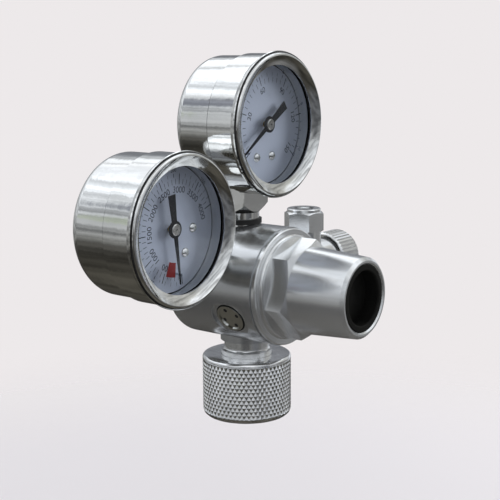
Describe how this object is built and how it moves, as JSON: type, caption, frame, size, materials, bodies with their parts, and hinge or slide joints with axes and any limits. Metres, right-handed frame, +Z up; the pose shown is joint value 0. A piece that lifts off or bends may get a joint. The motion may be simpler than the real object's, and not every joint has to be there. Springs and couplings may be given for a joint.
{
  "type": "aquarium carbon dioxide regulator",
  "caption": "Cylinder pressure regulator with a round body, two round dial gauges, a tapered bonnet, a knurled bottle nut and a side needle valve with a hose outlet.",
  "frame": {"origin": "centre of the open mouth of the knurled cylinder nut", "axes": "+Z up along the nut, +X along the body towards the bonnet, both dials face +X, the hose outlet valve leaves on +Y"},
  "size_m": [0.058, 0.113, 0.1064],
  "materials": {
    "satin_body": "satin turned",
    "satin_bonnet": "polished turned",
    "bright_plate": "bright chrome plating",
    "knurled_plate": "bright plating over a diamond knurl",
    "bare_steel": "plain",
    "dark_steel": "darkened",
    "spring_steel": "plain",
    "plain_brass": "machined",
    "sintered_bronze": "porous",
    "black_plastic": "moulded",
    "white_nylon": "moulded",
    "black_rubber": "moulded",
    "clear_glass": "clear",
    "dial_paint": "satin pale blue grey",
    "pointer_paint": "satin black"
  },
  "bodies": {
    "regulator": {"regulator_body": "satin_body", "bonnet": "satin_bonnet", "bonnet_cap": "black_plastic", "main_spring": "spring_steel", "diaphragm": "black_rubber", "slip_ring": "white_nylon", "seat_nozzle": "plain_brass", "poppet_spring": "spring_steel", "relief_plug": "dark_steel", "relief_spring": "spring_steel", "inlet_nipple": "bright_plate", "inlet_washer": "white_nylon", "inlet_filter": "sintered_bronze", "valve_body": "bright_plate", "valve_seal": "black_rubber", "stem_o_ring": "black_rubber", "gland_nut": "plain_brass", "low_gauge_case": "bright_plate", "low_gauge_bezel": "bright_plate", "low_gauge_gasket": "black_rubber", "low_gauge_lens": "clear_glass", "low_gauge_dial": "dial_paint", "low_dial_screws": "bare_steel", "low_movement_frame": "plain_brass", "low_bourdon_tube": "plain_brass", "low_hairspring": "plain_brass", "low_gauge_stem": "bright_plate", "low_stem_seal": "black_rubber", "high_gauge_case": "bright_plate", "high_gauge_bezel": "bright_plate", "high_gauge_gasket": "black_rubber", "high_gauge_lens": "clear_glass", "high_gauge_dial": "dial_paint", "high_dial_screws": "bare_steel", "high_movement_frame": "plain_brass", "high_bourdon_tube": "plain_brass", "high_hairspring": "plain_brass", "high_gauge_stem": "bright_plate", "high_stem_seal": "black_rubber"},
    "cylinder_nut": {"knurled_nut": "knurled_plate"},
    "spring_button": {"spring_button": "plain_brass"},
    "adjusting_screw": {"adjusting_screw": "bare_steel"},
    "diaphragm_plates": {"back_plate": "plain_brass", "pusher": "plain_brass"},
    "poppet": {"poppet": "plain_brass"},
    "relief_disc": {"relief_disc": "black_rubber"},
    "needle": {"needle": "bare_steel"},
    "valve_knob": {"valve_knob": "bright_plate", "valve_stem": "bare_steel", "knob_screw": "bare_steel"},
    "clamp_ring": {"clamp_ring": "plain_brass"},
    "outlet_nut": {"outlet_nut": "bright_plate"},
    "low_pointer": {"low_gauge_pointer": "pointer_paint", "low_pinion_arbor": "plain_brass"},
    "low_sector": {"low_sector_gear": "plain_brass"},
    "low_link": {"low_tip_link": "plain_brass"},
    "high_pointer": {"high_gauge_pointer": "pointer_paint", "high_pinion_arbor": "plain_brass"},
    "high_sector": {"high_sector_gear": "plain_brass"},
    "high_link": {"high_tip_link": "plain_brass"}
  },
  "joints": [
    {"name": "cylinder_nut_turn", "type": "hinge", "parent": "regulator", "child": "cylinder_nut", "pos_m": [0, 0, 0.009], "axis": [0, 0, 1], "continuous": true},
    {"name": "spring_button_slide", "type": "slide", "parent": "regulator", "child": "spring_button", "axis": [1, 0, 0], "range_m": [-0.0015, 0.002], "deforming": ["main_spring"]},
    {"name": "adjusting_screw_turn", "type": "hinge", "parent": "spring_button", "child": "adjusting_screw", "pos_m": [0.028, 0, 0.04], "axis": [1, 0, 0], "range_deg": [-540, 720]},
    {"name": "diaphragm_lift", "type": "slide", "parent": "regulator", "child": "diaphragm_plates", "axis": [1, 0, 0], "range_m": [-0.0005, 0], "deforming": ["diaphragm", "main_spring"]},
    {"name": "poppet_lift", "type": "slide", "parent": "regulator", "child": "poppet", "axis": [1, 0, 0], "range_m": [-0.0005, 0], "deforming": ["poppet_spring"]},
    {"name": "relief_lift", "type": "slide", "parent": "regulator", "child": "relief_disc", "axis": [0, -0.8829, -0.4695], "range_m": [0, 0.0006], "deforming": ["relief_spring"]},
    {"name": "needle_slide", "type": "slide", "parent": "regulator", "child": "needle", "axis": [0, 1, 0], "range_m": [0, 0.002]},
    {"name": "valve_knob_turn", "type": "hinge", "parent": "regulator", "child": "valve_knob", "pos_m": [-0.0015, 0.047, 0.04], "axis": [0, 1, 0], "range_deg": [0, 1440]},
    {"name": "clamp_ring_lift", "type": "slide", "parent": "regulator", "child": "clamp_ring", "axis": [0, 0, 1], "range_m": [0, 0.003]},
    {"name": "outlet_nut_turn", "type": "hinge", "parent": "clamp_ring", "child": "outlet_nut", "pos_m": [-0.0015, 0.03165, 0.0503], "axis": [0, 0, 1], "range_deg": [0, 1080]},
    {"name": "low_pointer_turn", "type": "hinge", "parent": "regulator", "child": "low_pointer", "pos_m": [0, 0, 0.0859], "axis": [-1, 0, 0], "range_deg": [0, 256], "deforming": ["low_hairspring"]},
    {"name": "low_sector_turn", "type": "hinge", "parent": "regulator", "child": "low_sector", "pos_m": [0, 0, 0.0769], "axis": [1, 0, 0], "range_deg": [0, 32], "deforming": ["low_bourdon_tube"]},
    {"name": "low_link_turn", "type": "hinge", "parent": "low_sector", "child": "low_link", "pos_m": [0, 0.00371, 0.07493], "axis": [1, 0, 0], "range_deg": [-32, 0], "deforming": ["low_bourdon_tube"]},
    {"name": "high_pointer_turn", "type": "hinge", "parent": "regulator", "child": "high_pointer", "pos_m": [0, -0.0406, 0.06141], "axis": [-1, 0, 0], "range_deg": [0, 256], "deforming": ["high_hairspring"]},
    {"name": "high_sector_turn", "type": "hinge", "parent": "regulator", "child": "high_sector", "pos_m": [0, -0.03264, 0.05721], "axis": [1, 0, 0], "range_deg": [0, 32], "deforming": ["high_bourdon_tube"]},
    {"name": "high_link_turn", "type": "hinge", "parent": "high_sector", "child": "high_link", "pos_m": [0, -0.02917, 0.05957], "axis": [1, 0, 0], "range_deg": [-32, 0], "deforming": ["high_bourdon_tube"]}
  ],
  "couplings": [
    {"joint": "spring_button_slide", "follows": "adjusting_screw_turn", "m_per_rad": 0.00015915},
    {"joint": "poppet_lift", "follows": "diaphragm_lift", "ratio": 1},
    {"joint": "needle_slide", "follows": "valve_knob_turn", "m_per_rad": 0.000079577},
    {"joint": "clamp_ring_lift", "follows": "outlet_nut_turn", "m_per_rad": 0.00015915},
    {"joint": "low_pointer_turn", "follows": "low_sector_turn", "ratio": 8},
    {"joint": "low_link_turn", "follows": "low_sector_turn", "ratio": -1},
    {"joint": "high_pointer_turn", "follows": "high_sector_turn", "ratio": 8},
    {"joint": "high_link_turn", "follows": "high_sector_turn", "ratio": -1}
  ]
}
